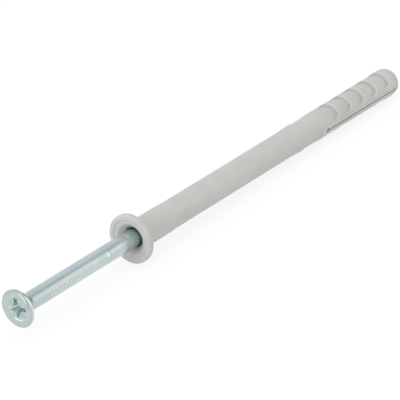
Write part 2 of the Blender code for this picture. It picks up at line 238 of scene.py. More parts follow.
def pushOut(tree, geometry, outward, amount):
    push = setNode(
        tree, "ShaderNodeVectorMath", {0: outward, "Scale": amount}, operation="SCALE"
    ).outputs[0]
    return setNode(
        tree, "GeometryNodeSetPosition", {"Geometry": geometry, "Offset": push}
    ).outputs[0]


def placed(tree, shape, place, turn=(0.0, 0.0, 0.0)):
    settings = {"Geometry": shape, "Translation": place, "Rotation": turn}
    return setNode(tree, "GeometryNodeTransform", settings).outputs[0]


def oneCutter(tree, shapes, crossing):
    # crossing says that a shape may pass through itself
    union = setNode(
        tree, "GeometryNodeMeshBoolean", {"Self Intersection": crossing},
        operation="UNION", solver="EXACT",
    )
    for shape in shapes:
        tree.links.new(shape, union.inputs["Mesh 2"])
    return union.outputs["Mesh"]


def cutAway(tree, body, cutter):
    meshes = {"Mesh 1": body, "Mesh 2": cutter, "Self Intersection": True}
    return setNode(
        tree, "GeometryNodeMeshBoolean", meshes, operation="DIFFERENCE", solver="EXACT"
    ).outputs["Mesh"]


def endTree(tree, geometry, material, sharpAngle):
    # smooth faces with sharp edges only where the surface really turns, then the material
    smooth = setNode(
        tree, "GeometryNodeSetShadeSmooth", {"Geometry": geometry, "Shade Smooth": True},
        domain="FACE",
    )
    bend = setNode(tree, "GeometryNodeInputMeshEdgeAngle").outputs["Unsigned Angle"]
    settings = {
        "Geometry": smooth.outputs[0],
        "Selection": maths(tree)("GREATER_THAN", bend, sharpAngle),
        "Shade Smooth": False,
    }
    edges = setNode(tree, "GeometryNodeSetShadeSmooth", settings, domain="EDGE")
    real = setNode(tree, "GeometryNodeRealizeInstances", {"Geometry": edges.outputs[0]})
    settings = {"Geometry": real.outputs[0], "Material": material}
    dressed = setNode(tree, "GeometryNodeSetMaterial", settings)
    setNode(tree, "NodeGroupOutput", {0: dressed.outputs[0]})


def plainPiece(name, base, tree, identifiers, sizes, matrix):
    # runs the tree on the base mesh and keeps the result as a plain mesh in its place
    rough = bpy.data.objects.new(name + "Base", base)
    bpy.context.scene.collection.objects.link(rough)
    modifier = rough.modifiers.new("shape", "NODES")
    modifier.node_group = tree
    for key, identifier in identifiers.items():
        modifier[identifier] = sizes[key]
    graph = bpy.context.evaluated_depsgraph_get()
    mesh = bpy.data.meshes.new_from_object(rough.evaluated_get(graph))
    bpy.data.objects.remove(rough)
    mesh.transform(matrix)
    mesh.name = name
    piece = bpy.data.objects.new(name, mesh)
    bpy.context.scene.collection.objects.link(piece)
    return piece


# helpers for finishes

def newMaterial(name):
    material = bpy.data.materials.new(name)
    material.use_nodes = True
    return material, material.node_tree


def alongAxis(tree):
    # object coordinates turned into the plug's own frame, in millimetres
    place = setNode(tree, "ShaderNodeTexCoord").outputs["Object"]
    turn = math.pi / 2 + lie["dip"]
    settings = {
        "Vector": place,
        "Scale": (1 / mm, 1 / mm, 1 / mm),
        "Rotation": (0.0, -turn, 0.0),
        "Location": -(Matrix.Rotation(-turn, 3, "Y") @ Vector(lie["collarFront"])),
    }
    return setNode(tree, "ShaderNodeMapping", settings).outputs["Vector"]


def cloud(tree, vector, scale, detail, roughness=0.5):
    # scale is one number, or one for each direction
    if isinstance(scale, tuple):
        settings = {"Vector": vector, "Scale": scale}
        vector = setNode(tree, "ShaderNodeMapping", settings).outputs["Vector"]
        scale = 1.0
    settings = {"Vector": vector, "Scale": scale, "Detail": detail, "Roughness": roughness}
    return setNode(tree, "ShaderNodeTexNoise", settings).outputs["Fac"]


def fitRange(tree, value, low, high, outLow, outHigh):
    ends = {
        "Value": value, "From Min": low, "From Max": high, "To Min": outLow, "To Max": outHigh,
    }
    return setNode(tree, "ShaderNodeMapRange", ends).outputs["Result"]


def mixTones(tree, share, first, second):
    first, second = (
        tone if isinstance(tone, bpy.types.NodeSocket) else (*tone, 1.0)
        for tone in (first, second)
    )
    settings = {"Factor": share, "A": first, "B": second}
    return setNode(tree, "ShaderNodeMix", settings, data_type="RGBA").outputs["Result"]


def fittedCloud(tree, vector, kind):
    # kind: the cloud's scale and detail, its low and high, and what they become
    scale, detail, *ends = kind
    return fitRange(tree, cloud(tree, vector, scale, detail), *ends)


def bumped(tree, vector, kind, below=None):
    # kind: a cloud's scale, detail and roughness, the bumps' depth in mm and their strength
    scale, detail, roughness, depth, strength = kind
    height = cloud(tree, vector, scale, detail, roughness)
    settings = {"Height": height, "Distance": depth * mm, "Strength": strength}
    if below is not None:
        settings["Normal"] = below
    return setNode(tree, "ShaderNodeBump", settings).outputs["Normal"]


# sleeve: a turned body whose pockets, reliefs and fins follow a rule

sleeve = {
    # millimetres; z from the collar's front face
    "roll": math.radians(7.5),
    "sharpAngle": math.radians(50),
    "length": 120.0,
    "boreRadius": 2.8,
    "boreRows": (30.0, 55.0, 80.0, 84.0, 95.0, 106.0, 114.0, 119.0),
    "shaftRadius": 3.95,
    "neckRadius": 4.1,
    "neckEnd": 14.9,
    "neckChamfer": 0.7,
    "collarRadius": 7.095,
    "collarThickness": 1.9,
    "collarEdge": 0.45,
    "collarFillet": 0.35,
    "collarFlat": 1.2,
    "rimFlat": 0.3,
    "rimInner": 5.7,
    "stepRadius": 5.5,
    "stepDepth": 0.3,
    "mouthRadius": 4.4,
    "seatDepth": 0.5,
    "mouthCorners": (0, 0.12, 0.12, 0.15, 0.3, 0),
    "sideCorner": 0.3,
    "endCorner": 0.12,
    "zoneRadius": 4.1,
    "crestRadius": 4.2,
    "tipRadius": 3.3,
    "tipTaper": 2.8,
    "zoneStart": 82.0,
    "zoneRamp": 3.0,
    # what cuts the slit and the keyhole
    "slitEnd": 125.0,
    "slitReach": 12.0,
    "drillReach": 14.0,
    "drillSides": 32,
    "drillTurn": math.radians(3),
    # rows of points behind a wall: from, to, step; closest at the wall itself
    "pocketRows": (
        (0.03, -0.11, 0.02), (-0.11, -1.6, 0.14), (-1.6, -4.8, 0.27), (-4.8, -6.18, 0.3),
    ),
    "reliefRows": ((0.03, -0.11, 0.02), (-0.11, -1.0, 0.14), (-1.0, -5.7, 0.35)),
    "finRows": ((0.03, -0.11, 0.02), (-0.11, -1.0, 0.14), (-1.0, -6.6, 0.35)),
    "plainEnd": 67.5,
    "plainRow": 2.5,
    "neckRow": 1.5,
    "tipRow": 0.4,
    "leastRow": 0.012,
    # columns of points in a quarter turn: from, to, step in degrees; finest at the outlines
    "columns": ((0, 28, 4.0), (28, 40, 2.0), (40, 64, 1.0), (64, 90, 2.0)),
    "columnShift": 0.31,
    # inputs of the tree, metres
    "rule": {
        "pocket count": 5,
        "pocket pitch": 6.22 * mm,
        "pocket length": 4.9 * mm,
        "pocket depth": 0.75 * mm,
        "pocket half angle": math.radians(61),
        "pocket corner": 1.4 * mm,
        "last wall": 115.0 * mm,
        "relief wall": 81.9 * mm,
        "relief length": 5.6 * mm,
        "relief depth": 0.3 * mm,
        "relief half angle": math.radians(19),
        "relief corner": 0.8 * mm,
        "fin end": 74.4 * mm,
        "fin length": 6.5 * mm,
        "fin height": 0.2 * mm,
        "fin half angle": math.radians(14),
        "fin corner": 0.5 * mm,
        "wall softness": 0.1 * mm,
        "side softness": 0.3 * mm,
        "slit start": 84.6 * mm,
        "slit width": 0.42 * mm,
        "keyhole radius": 0.65 * mm,
        "bore skin": 3.5 * mm,  # what lies nearer the axis keeps its place
    },
}

plastic = {
    "light": (0.590, 0.597, 0.570),
    "dark": (0.548, 0.556, 0.532),
    "flowTone": (0.605, 0.608, 0.585),
    # clouds: scale, detail, low and high, and what they become
    "mottle": (0.14, 4.0, 0.35, 0.65, 0.0, 1.0),
    "flow": ((0.5, 0.5, 0.035), 3.0, 0.50, 0.75, 0.0, 0.6),
    "roughness": (0.35, 3.0, 0.3, 0.7, 0.42, 0.54),
    # bumps: scale, detail and roughness of a cloud, depth, strength
    "waves": ((0.9, 0.9, 0.25), 2.0, 0.5, 0.05, 0.35),
    "grain": (5.5, 2.0, 0.5, 0.012, 0.5),
    "specular": 0.4,
    # shade in the pockets' corners and light on the lips past their walls
    "corner": (0.40, 0.40, 0.385),
    "cornerReach": 0.55,
    "cornerShare": 0.55,
    "lip": (0.74, 0.745, 0.715),
    "lipReach": 1.3,
    "lipShare": 0.42,
    "wallSoftness": 0.1,
    "wallCover": 0.05,
    "skin": 3.2,
    "tip": (117.0, 119.6),
    "tipShare": 0.30,
    # shade in the mouth: radius where it starts and where it is full, tone, share
    "mouthShades": (
        (5.2, 3.3, (0.38, 0.41, 0.44), 0.42),
        (3.7, 2.85, (0.16, 0.18, 0.19), 0.60),
    ),
    "mouthDepth": 3.0,
}


def sleeveTones(tree, vector, body):
    # shade at the pockets' walls, on the tip and in the mouth
    rule = sleeve["rule"]
    work = maths(tree)
    x, y, z, radius = roundReadings(tree, work, vector)
    folded = work("ABSOLUTE", awayFrom(work, work("ARCTAN2", y, x), sleeve["roll"], math.pi))
    pitch, length = rule["pocket pitch"] / mm, rule["pocket length"] / mm
    corner, lip = rule["pocket corner"] / mm, plastic["lipReach"]
    fromWall = work("ADD", work("SUBTRACT", rule["last wall"] / mm, z), lip)
    index = work("FLOOR", work("DIVIDE", fromWall, pitch))
    counted = work(
        "MULTIPLY", work("GREATER_THAN", index, -0.5),
        work("LESS_THAN", index, rule["pocket count"] - 0.5),
    )
    back = work("SUBTRACT", work("SUBTRACT", fromWall, work("MULTIPLY", index, pitch)), lip)
    aside = work("MULTIPLY", work("SUBTRACT", rule["pocket half angle"], folded), radius)
    inside = insideOutline(work, back, aside, corner)
    steep = work("DIVIDE", work("ABSOLUTE", back), length)
    steep = work("MAXIMUM", work("SUBTRACT", 1.0, steep), 0.0)
    skin = work("MULTIPLY", counted, work("GREATER_THAN", radius, plastic["skin"]))
    soft = plastic["wallSoftness"]
    dark = work(
        "MULTIPLY", eased(tree, inside, plastic["cornerReach"], soft),
        work("GREATER_THAN", inside, -plastic["wallCover"]), steep, skin, plastic["cornerShare"],
    )
    light = work(
        "MULTIPLY", eased(tree, inside, -lip, -soft), work("LESS_THAN", inside, 0.0),
        work("LESS_THAN", back, corner), steep, skin, plastic["lipShare"],
    )
    body = mixTones(tree, dark, body, plastic["corner"])
    body = mixTones(tree, light, body, plastic["lip"])
    tip = work("MULTIPLY", eased(tree, z, *plastic["tip"]), plastic["tipShare"])
    body = mixTones(tree, tip, body, plastic["corner"])
    inMouth = work("LESS_THAN", z, plastic["mouthDepth"])
    for start, full, tone, share in plastic["mouthShades"]:
        near = work("MULTIPLY", eased(tree, radius, start, full), inMouth, share)
        body = mixTones(tree, near, body, tone)
    return body


def mouldedPlastic():
    material, tree = newMaterial("mouldedGreyPlastic")
    shader = tree.nodes["Principled BSDF"]
    vector = alongAxis(tree)
    mottle = fittedCloud(tree, vector, plastic["mottle"])
    body = mixTones(tree, mottle, plastic["dark"], plastic["light"])
    flow = fittedCloud(tree, vector, plastic["flow"])
    body = mixTones(tree, flow, body, plastic["flowTone"])
    joinTo(tree, shader.inputs["Base Color"], sleeveTones(tree, vector, body))
    joinTo(tree, shader.inputs["Roughness"], fittedCloud(tree, vector, plastic["roughness"]))
    waves = bumped(tree, vector, plastic["waves"])
    joinTo(tree, shader.inputs["Normal"], bumped(tree, vector, plastic["grain"], waves))
    shader.inputs["Specular IOR Level"].default_value = plastic["specular"]
    return material


def sleeveLine():
    s, rule = sleeve, sleeve["rule"]
    tipStart = s["length"] - s["tipTaper"]
    tip = arc(
        (s["tipRadius"], tipStart), (s["crestRadius"] - s["tipRadius"], s["tipTaper"]),
        math.pi / 2, 0.0, 8,
    )
    lastWall = rule["last wall"] / mm
    gap = (rule["pocket pitch"] - rule["pocket length"]) / mm
    low = s["collarThickness"] + s["collarFillet"]
    outside = roundedLine([
        (s["crestRadius"], tipStart),
        (s["crestRadius"], lastWall),
        (s["zoneRadius"], lastWall - gap),
        (s["zoneRadius"], s["zoneStart"]),
        (s["shaftRadius"], s["zoneStart"] - s["zoneRamp"]),
        (s["shaftRadius"], s["neckEnd"] + s["neckChamfer"]),
        (s["neckRadius"], s["neckEnd"]),
        (s["neckRadius"], low),
    ], s["sideCorner"], 4)

    walls = [
        (lastWall - index * rule["pocket pitch"] / mm, s["pocketRows"])
        for index in range(rule["pocket count"])
    ]
    walls += [(rule["relief wall"] / mm, s["reliefRows"]), (rule["fin end"] / mm, s["finRows"])]
    heights = set(point[1] for point in outside)
    for wall, rows in walls:
        for start, end, step in rows:
            heights.update(steps(wall + start, wall + end, step))
    heights.update(steps(tipStart, lastWall + 0.05, s["tipRow"]))
    heights.update(steps(s["plainEnd"], s["neckEnd"] + 1.0, s["plainRow"]))
    heights.update(steps(s["neckEnd"] - 0.3, low, s["neckRow"]))
    ordered = sorted((z for z in heights if low <= z <= tipStart), reverse=True)
    kept = [ordered[0]]
    for z in ordered[1:]:
        if kept[-1] - z > s["leastRow"]:  # rows that nearly meet become one
            kept.append(z)
    line = [(radiusAlong(outside, z), z) for z in kept[1:]]

    fillet = s["collarFillet"]
    flange = arc((s["neckRadius"] + fillet, low), (fillet, fillet), math.pi, math.pi * 1.5, 5)
    edge, corner = s["collarRadius"] - s["collarEdge"], (s["collarEdge"],) * 2
    flange += [(edge - s["collarFlat"], s["collarThickness"])]
    flange += arc((edge, s["collarThickness"] - s["collarEdge"]), corner, math.pi / 2, 0.0, 8)
    flange += arc((edge, s["collarEdge"]), corner, 0.0, -math.pi / 2, 8)
    mouth = roundedLine([
        (edge - s["rimFlat"], 0.0),
        (s["rimInner"], 0.0),
        (s["stepRadius"], s["stepDepth"]),
        (s["mouthRadius"], s["seatDepth"]),
        (s["boreRadius"], s["seatDepth"] + s["mouthRadius"] - s["boreRadius"]),
        (s["boreRadius"], s["boreRows"][0]),
    ], s["mouthCorners"], 5)
    bore = [(s["boreRadius"], z) for z in s["boreRows"][1:-1]]
    end = roundedLine([
        (s["boreRadius"], s["boreRows"][-1]),
        (s["boreRadius"], s["length"]),
        (s["tipRadius"], s["length"]),
    ], s["endCorner"], 3)
    return tip + line + flange + mouth + bore + end[:-1]


def sleeveAngles():
    quarter = []
    for start, end, step in sleeve["columns"]:
        quarter += steps(start, end, step)
    quarter = [value + sleeve["columnShift"] for value in quarter]
    mirrored = [90 - value for value in reversed(quarter)]
    return [
        math.radians(value + 90 * turn)
        for turn in range(4) for value in (mirrored if turn % 2 else quarter)
    ]


def sleeveTree(material):
    tree, identifiers, given = newTree("sleeve shape", sleeve["rule"])
    work = maths(tree)
    x, y, z, radius, outward = pointReadings(tree, work)
    folded = work("ARCTAN2", work("ABSOLUTE", y), work("ABSOLUTE", x))

    back = work("SUBTRACT", given["last wall"], z)
    index = work("FLOOR", work("DIVIDE", back, given["pocket pitch"]))
    back = work("SUBTRACT", back, work("MULTIPLY", index, given["pocket pitch"]))
    counted = work(
        "MULTIPLY", work("GREATER_THAN", index, -0.5),
        work("LESS_THAN", index, work("SUBTRACT", given["pocket count"], 0.5)),
    )
    aside = work("MULTIPLY", radius, work("SUBTRACT", given["pocket half angle"], folded))
    pockets = sawTooth(tree, work, given, "pocket", back, aside, given["pocket depth"])
    pockets = work("MULTIPLY", pockets, counted)

    back = work("SUBTRACT", given["relief wall"], z)
    fromSlit = work("SUBTRACT", math.pi / 2, folded)
    aside = work("MULTIPLY", radius, work("SUBTRACT", given["relief half angle"], fromSlit))
    reliefs = sawTooth(tree, work, given, "relief", back, aside, given["relief depth"])

    back = work("SUBTRACT", given["fin end"], z)
    fromFin = work("ABSOLUTE", work("SUBTRACT", folded, math.pi / 4))
    aside = work("MULTIPLY", radius, work("SUBTRACT", given["fin half angle"], fromFin))
    fins = sawTooth(tree, work, given, "fin", back, aside, given["fin height"])
    fins = work("MULTIPLY", fins, work("LESS_THAN", work("MULTIPLY", x, y), 0.0))

    amount = work("SUBTRACT", fins, work("ADD", pockets, reliefs))
    amount = work("MULTIPLY", amount, work("GREATER_THAN", radius, given["bore skin"]))
    shaped = pushOut(tree, given["Geometry"], outward, amount)

    # the slit is a box that runs out past the tip, from a hole right through
    s = sleeve
    length = work("SUBTRACT", s["slitEnd"] * mm, given["slit start"])
    settings = {"X": given["slit width"], "Y": s["slitReach"] * mm, "Z": length}
    size = setNode(tree, "ShaderNodeCombineXYZ", settings).outputs[0]
    box = setNode(tree, "GeometryNodeMeshCube", {"Size": size}).outputs["Mesh"]
    middle = work("ADD", given["slit start"], work("MULTIPLY", length, 0.5))
    slit = placed(tree, box, setNode(tree, "ShaderNodeCombineXYZ", {"Z": middle}).outputs[0])
    settings = {
        "Vertices": s["drillSides"], "Depth": s["drillReach"] * mm,
        "Radius": given["keyhole radius"],
    }
    drill = setNode(tree, "GeometryNodeMeshCylinder", settings).outputs["Mesh"]
    lift = setNode(tree, "ShaderNodeCombineXYZ", {"Z": given["slit start"]}).outputs[0]
    keyhole = placed(tree, drill, lift, (math.pi / 2, s["drillTurn"], 0.0))
    cutter = oneCutter(tree, (slit, keyhole), False)
    endTree(tree, cutAway(tree, shaped, cutter), material, s["sharpAngle"])
    return tree, identifiers


plasticFinish = mouldedPlastic()
print("plastic finish made")
base = turnedMesh("sleeveBase", sleeveLine(), sleeveAngles(), closedLine=True)
tree, identifiers = sleeveTree(plasticFinish)
sleeveTurn = lyingMatrix() @ Matrix.Rotation(sleeve["roll"], 4, "Z")
plugSleeve = plainPiece("plugSleeve", base, tree, identifiers, sleeve["rule"], sleeveTurn)
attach(plugSleeve, "sleeve_body")
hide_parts("sleeve")
print("sleeve made", len(plugSleeve.data.polygons))


# nail: a turned body, its thread and rings by a rule, its recess from four turned wings

nail = {
    # millimetres; z from the head's face
    "roll": math.radians(-14),
    "sharpAngle": math.radians(40),
    "exposed": 45.5,
    "length": 125.0,
    "radius": 2.5,
    "headRadius": 5.4,
    "faceRadius": 3.9,
    "headRim": 0.6,
    "headEdge": 0.22,
    "rimCorner": 0.3,
    "coneAngle": math.radians(45),
    "neckFillet": 1.5,
    "pointLength": 4.5,
    "point": ((0.25, 0.25), (0.14, 0.07), (0.0, 0.0)),  # radius, distance from the end
    "coreRadius": 1.92,
    "wingLength": 3.2,
    "wingWidth": 1.25,
    "wingTaper": 0.7,
    "recessTaper": 0.45,
    "recessDepth": 3.0,
    "recessOver": 0.1,
    "wingBend": (0.8, 0.55, 0.78),  # share of the depth, the length and the width
    "middleRadius": 1.5,
    "middleSides": 24,
    "middleOver": 0.15,
    "middleLift": -0.13,
    "markStart": 1.7,
    "markEnd": 3.1,
    "markWidth": 0.3,
    "markDepth": 0.07,
    # from where the rule may move a point: z and radius on the shank, z and skin at the thread
    "shankStart": (5.0, 2.4),
    "threadZone": (60.0, 0.02),
    # from full height to nothing, in shares of the pitch, half angle and width; nib in radians
    "ringFlank": (0.05, 0.32),
    "markFlank": 0.7,
    "beadFlank": (0.15, 0.6),
    "nibFlank": (0.15, 0.50),
    "columns": 96,
    # distances between rows of points
    "plainRow": 0.8,
    "ringRow": 0.1,
    "beadRow": 0.06,
    "hiddenRow": 2.0,
    "threadRow": 0.11,
    "beadReach": 1.2,
    "threadRows": (3.1, 3.12, 3.3),  # past its start: the shank's end, the step, the first row
    # inputs of the tree, metres
    "rule": {
        "ring count": 15,
        "ring pitch": 1.1 * mm,
        "ring depth": 0.05 * mm,
        "first ring": 11.6 * mm,
        "mark turn": math.radians(-88),
        "mark half angle": math.radians(42),
        "bead place": 34.9 * mm,
        "bead height": 0.04 * mm,
        "bead width": 1.4 * mm,
        "nib place": 34.7 * mm,
        "nib height": 0.22 * mm,
        "nib turn": math.radians(-105),
        "nib curve": 0.7 * mm,
        "nib rise": 0.30 * mm,
        "nib end": 0.55 * mm,
        "thread start": 67.5 * mm,
        "thread end": 119.5 * mm,
        "thread pitch": 2.6 * mm,
        "thread height": 0.53 * mm,
        "thread runout": 4.0 * mm,
        "steep share": 0.12,
        "crest share": 0.12,
    },
}

zinc = {
    "blue": (0.50, 0.585, 0.60),
    "green": (0.56, 0.63, 0.60),
    "pale": (0.62, 0.67, 0.655),
    # clouds: scale, detail, low and high, and what they become
    "film": ((0.55, 0.55, 0.2), 3.0, 0.38, 0.62, 0.0, 1.0),
    "faceHighlightBreaks": (2.2, 2.0, 0.32, 0.48, 0.0, 1.0),
    "markBreaks": (0.8, 2.0, 0.35, 0.6, 0.45, 1.0),
    # one cloud for two ends: scale, detail, roughness; what it does to tone and gloss
    "bloom": (1.3, 4.0, 0.6),
    "bloomTone": (0.55, 0.8, 0.0, 0.7),
    "roughness": (0.3, 0.7, 0.20, 0.30),
    # bumps: scale, detail and roughness of a cloud, depth, strength
    "drawn": ((4.0, 4.0, 0.12), 2.0, 0.5, 0.010, 0.30),
    "pits": (3.0, 3.0, 0.6, 0.008, 0.20),
    "shank": 2.9,
    # shares of a reach or spread where a spot reaches its full tone
    "turnCore": 0.35,
    "faceHighlightCore": (0.4, 0.5),
    "stripCore": 0.3,
    "highlightCore": 0.4,
    # painted highlight along the nib's crest, whose colour also paints the highlights on the
    # face: place along the axis, reach, angle, spread, curve
    "highlight": (0.95, 0.95, 0.93),
    "highlightPlace": -11.1,
    "highlightReach": 0.36,
    "highlightTurn": math.radians(-119),
    "highlightSpread": math.radians(19),
    "highlightCurve": 2.0,
    # painted reflection bands over the marks of the dies, which darken and lighten the shank in
    # turn, under a painted sheen; the dark tone also paints the shade towards the head
    "paintedShade": (0.40, 0.46, 0.46),
    "markShadeShare": 0.78,
    "markSheen": (0.72, 0.80, 0.76),
    "markSheenShare": 0.5,
    "markFirst": -33.9,
    "markLast": -17.4,
    "markEnds": (1.1, 0.2),
    "markPitch": 1.1,
    "markTurn": math.radians(-102),
    "markSpread": math.radians(38),
    "headEnd": (-24.0, -40.0),
    "headEndShade": 0.16,
    # bands round the nail: from and to along the axis, least radius, softness, tone, share
    "bands": (
        # painted dark reflection in the neck's fillet
        (-43.5, -41.2, 2.4, 0.5, (0.36, 0.42, 0.40), 0.30),
        # painted highlight on the head's cone
        (-44.70, -43.5, 2.9, 0.15, (0.90, 0.89, 0.83), 0.60),
        # painted dark reflection line at the rim's corner
        (-44.98, -44.74, 4.9, 0.06, (0.26, 0.26, 0.24), 0.50),
        # painted highlight on the rim's side
        (-45.44, -45.02, 5.2, 0.06, (0.90, 0.91, 0.88), 0.60),
        (-45.60, -45.40, 1.00, 0.06, (0.42, 0.53, 0.52), 0.30),
        (-45.60, -45.40, 4.65, 0.06, (0.48, 0.475, 0.465), 0.40),
        # painted reflection of the collar, pale and bluish, on the nail at the sleeve's mouth
        (-3.0, 6.0, 2.0, 1.5, (0.70, 0.80, 0.83), 0.70),
        # painted shade where the nail goes into the bore
        (1.2, 6.0, 2.0, 1.0, (0.40, 0.46, 0.49), 0.40),
    ),
    "face": 0.12,
    # the recess: its radius at the face and how fast it narrows
    "recess": (0.76, 0.85, 0.86),
    "recessCone": (3.4, 0.58),
    "recessRoughness": 0.42,
    # painted highlights on the face: radius, reach, angle, spread, share
    "faceHighlights": (
        (3.05, 0.60, math.radians(-10), math.radians(32), 0.90),
        (2.60, 0.35, math.radians(42), math.radians(18), 0.40),
    ),
    # painted light and shade: the first strip is a painted highlight, the other two are painted
    # dark reflections
    # strips round the face's edge: radius at the middle, its change with the angle,
    # half width, middle angle, spread, tone, share
    "strips": (
        (4.50, 0.83, 0.27, math.radians(-152), math.radians(30), (0.97, 0.97, 0.94), 0.90),
        (4.98, 1.50, 0.27, math.radians(-144), math.radians(46), (0.20, 0.19, 0.175), 0.80),
        (5.35, 0.00, 0.42, math.radians(-174), math.radians(36), (0.36, 0.36, 0.34), 0.60),
    ),
    "stripDepth": 0.75,
}


def turnWindow(tree, work, angle, middle, spread, period):
    # 1 round the middle angle, 0 beyond the spread; repeats every period
    away = work("ABSOLUTE", awayFrom(work, angle, middle, period))
    return eased(tree, away, spread, spread * zinc["turnCore"])


def headTones(tree, work, vector, angle, radius, depth, tone):
    # painted highlights on the face, and strips of painted highlight and painted dark reflection
    # round its edge
    onFace = work("LESS_THAN", work("ABSOLUTE", depth), zinc["face"])
    sideCore, turnCore = zinc["faceHighlightCore"]
    # painted highlights: bright, broken spots on the face
    for middle, reach, turn, spread, share in zinc["faceHighlights"]:
        aside = work("ABSOLUTE", work("SUBTRACT", radius, middle))
        around = work("ABSOLUTE", work("SUBTRACT", angle, turn))
        spot = work(
            "MULTIPLY", eased(tree, aside, reach, reach * sideCore),
            eased(tree, around, spread, spread * turnCore),
        )
        broken = fittedCloud(tree, vector, zinc["faceHighlightBreaks"])
        spot = work("MULTIPLY", spot, broken, onFace, share)
        tone = mixTones(tree, spot, tone, zinc["highlight"])
    atEdge = work("LESS_THAN", depth, zinc["stripDepth"])
    # painted highlight and painted dark reflections in strips round the face's edge
    for middle, slant, reach, turn, spread, shade, share in zinc["strips"]:
        turned = awayFrom(work, angle, turn, 2 * math.pi)
        path = work("SUBTRACT", middle, work("MULTIPLY", turned, slant))
        aside = work("ABSOLUTE", work("SUBTRACT", radius, path))
        aside = eased(tree, aside, reach, reach * zinc["stripCore"])
        around = turnWindow(tree, work, angle, turn, spread, 2 * math.pi)
        tone = mixTones(tree, work("MULTIPLY", aside, around, atEdge, share), tone, shade)
    return tone


def shankTones(tree, work, vector, angle, radius, z, tone):
    # painted shade towards the head, painted reflection bands and sheen over the dies' marks, and
    # a painted highlight on the nib's crest
    onShank = work("LESS_THAN", radius, zinc["shank"])
    headEnd = work("MULTIPLY", eased(tree, z, *zinc["headEnd"]), onShank, zinc["headEndShade"])
    tone = mixTones(tree, headEnd, tone, zinc["paintedShade"])
    # painted reflection bands over the dies' marks
    first, last = zinc["markFirst"], zinc["markLast"]
    count = work("DIVIDE", work("SUBTRACT", z, first), zinc["markPitch"])
    wave = work("ADD", work("COSINE", work("MULTIPLY", count, 2 * math.pi)), 1.0)
    wave = work("MULTIPLY", wave, 0.5)
    broken = fittedCloud(tree, vector, zinc["markBreaks"])
    far, near = zinc["markEnds"]
    window = work(
        "MULTIPLY",
        turnWindow(tree, work, angle, zinc["markTurn"], zinc["markSpread"], math.pi),
        eased(tree, z, first - far, first - near), eased(tree, z, last + far, last + near),
        onShank,
    )
    # painted sheen over the marked side of the shank
    share = work("MULTIPLY", window, zinc["markSheenShare"])
    tone = mixTones(tree, share, tone, zinc["markSheen"])
    share = work("MULTIPLY", wave, broken, window, zinc["markShadeShare"])
    tone = mixTones(tree, share, tone, zinc["paintedShade"])
    # painted highlight: a bowed strip of light colour along the nib's crest
    aside = work("ABSOLUTE", work("SUBTRACT", angle, zinc["highlightTurn"]))
    bowed = work("ADD", z, work("MULTIPLY", work("POWER", aside, 2.0), zinc["highlightCurve"]))
    fromNib = work("ABSOLUTE", work("SUBTRACT", bowed, zinc["highlightPlace"]))
    reach = zinc["highlightReach"]
    highlight = work(
        "MULTIPLY", eased(tree, fromNib, reach, reach * zinc["highlightCore"]), onShank,
        turnWindow(tree, work, angle, zinc["highlightTurn"], zinc["highlightSpread"], math.pi),
    )
    return mixTones(tree, highlight, tone, zinc["highlight"])


def zincPlate():
    material, tree = newMaterial("brightZincPlate")
    shader = tree.nodes["Principled BSDF"]
    vector = alongAxis(tree)
    film = fittedCloud(tree, vector, zinc["film"])
    tone = mixTones(tree, film, zinc["blue"], zinc["green"])
    bloom = cloud(tree, vector, *zinc["bloom"])
    tone = mixTones(tree, fitRange(tree, bloom, *zinc["bloomTone"]), tone, zinc["pale"])
    work = maths(tree)
    x, y, z, radius = roundReadings(tree, work, vector)
    angle = work("ARCTAN2", y, x)
    depth = work("ADD", z, nail["exposed"])
    # bands of tone round the nail; most are painted reflections, highlights and shade
    for start, end, least, soft, shade, share in zinc["bands"]:
        inside = work(
            "MULTIPLY", eased(tree, z, start - soft, start + soft),
            eased(tree, z, end + soft, end - soft), work("GREATER_THAN", radius, least), share,
        )
        tone = mixTones(tree, inside, tone, shade)
    wide, narrowing = zinc["recessCone"]
    reach = work("SUBTRACT", wide, work("MULTIPLY", depth, narrowing))
    inRecess = work(
        "MULTIPLY", work("LESS_THAN", radius, reach), work("GREATER_THAN", depth, zinc["face"])
    )
    tone = mixTones(tree, inRecess, tone, zinc["recess"])
    tone = headTones(tree, work, vector, angle, radius, depth, tone)
    tone = shankTones(tree, work, vector, angle, radius, z, tone)
    joinTo(tree, shader.inputs["Base Color"], tone)
    more = work("MULTIPLY", inRecess, zinc["recessRoughness"] - zinc["roughness"][-1])
    rough = work("ADD", fitRange(tree, bloom, *zinc["roughness"]), more)
    joinTo(tree, shader.inputs["Roughness"], rough)
    drawn = bumped(tree, vector, zinc["drawn"])
    joinTo(tree, shader.inputs["Normal"], bumped(tree, vector, zinc["pits"], drawn))
    shader.inputs["Metallic"].default_value = 1.0
    return material


